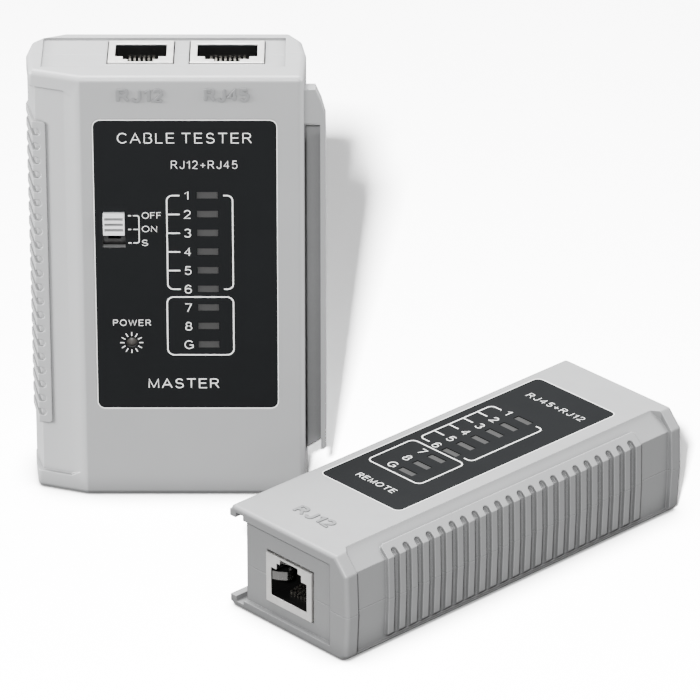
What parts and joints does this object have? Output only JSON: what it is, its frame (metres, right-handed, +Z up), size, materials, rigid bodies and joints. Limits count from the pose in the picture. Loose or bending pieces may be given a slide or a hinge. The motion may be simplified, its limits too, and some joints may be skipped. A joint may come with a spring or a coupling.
{
  "type": "network cable tester",
  "caption": "Two-piece handheld network cable tester: a main unit with modular sockets, lamp row and slide switch, and a remote unit that slides on to its side rail.",
  "frame": {"origin": "middle of the main unit's flat base, on the surface that both units rest on", "axes": "-Y is the main unit's front with the label, +X its right side with the dock rail, +Z up to its sockets; the remote lies face up in front, its long axis turned 43.32 degrees from +X towards +Y"},
  "size_m": [0.1415, 0.0993, 0.1],
  "materials": {
    "casing": "fine moulded texture",
    "label": "printed satin film",
    "lamp_lens": "smoked moulding",
    "power_lens": "smoked moulding",
    "knob": "satin moulding",
    "switch_metal": "tinned sheet",
    "switch_plastic": "moulded",
    "jack_metal": "nickel plated sheet",
    "jack_plastic": "moulded",
    "contact": "gold plated wire",
    "board": "solder resist",
    "chip": "moulded",
    "tinned": "tinned",
    "resistor": "lacquered",
    "diode": "moulded",
    "supply_can": "sleeved can",
    "timing_film": "dipped",
    "battery_wrap": "printed jacket",
    "stud": "plated",
    "snap_cap": "moulded",
    "lead_red": "insulation",
    "lead_black": "insulation",
    "screw": "zinc plated"
  },
  "bodies": {
    "main_unit": {"main_front_shell": "casing", "main_rear_shell": "casing", "main_label": "label", "main_circuit_board": "board", "main_lamps": "lamp_lens", "power_lamp": "power_lens", "switch_frame": "switch_metal", "switch_base": "switch_plastic", "switch_terminals": "tinned", "main_jack_6p_shield": "jack_metal", "main_jack_6p_housing": "jack_plastic", "main_jack_6p_contacts": "contact", "main_jack_8p_shield": "jack_metal", "main_jack_8p_housing": "jack_plastic", "main_jack_8p_contacts": "contact", "counter_chip": "chip", "counter_chip_legs": "tinned", "timer_chip": "chip", "timer_chip_legs": "tinned", "main_resistors": "resistor", "supply_capacitor": "supply_can", "timing_capacitor": "timing_film", "battery": "battery_wrap", "battery_terminals": "stud", "battery_snap_cap": "snap_cap", "snap_contacts": "stud", "red_battery_lead": "lead_red", "black_battery_lead": "lead_black", "main_case_screws": "screw", "main_board_screws": "screw"},
    "battery_door": {"battery_door": "casing"},
    "switch_knob": {"switch_knob": "knob"},
    "remote_unit": {"remote_front_shell": "casing", "remote_rear_shell": "casing", "remote_label": "label", "remote_circuit_board": "board", "remote_lamps": "lamp_lens", "remote_jack_6p_shield": "jack_metal", "remote_jack_6p_housing": "jack_plastic", "remote_jack_6p_contacts": "contact", "remote_jack_8p_shield": "jack_metal", "remote_jack_8p_housing": "jack_plastic", "remote_jack_8p_contacts": "contact", "remote_resistors": "resistor", "remote_diodes": "diode", "remote_case_screws": "screw", "remote_board_screws": "screw"}
  },
  "joints": [
    {"name": "battery_door_hinge", "type": "hinge", "parent": "main_unit", "child": "battery_door", "pos_m": [0.0008, 0.0111, 0.0038], "axis": [-1, 0, 0], "range_deg": [0, 80]},
    {"name": "power_switch_slide", "type": "slide", "parent": "main_unit", "child": "switch_knob", "axis": [0, 0, -1], "range_m": [0, 0.003]},
    {"name": "remote_lift", "type": "slide", "parent": "main_unit", "child": "remote_unit", "axis": [0, 0, 1], "range_m": [0, 0.1]}
  ]
}
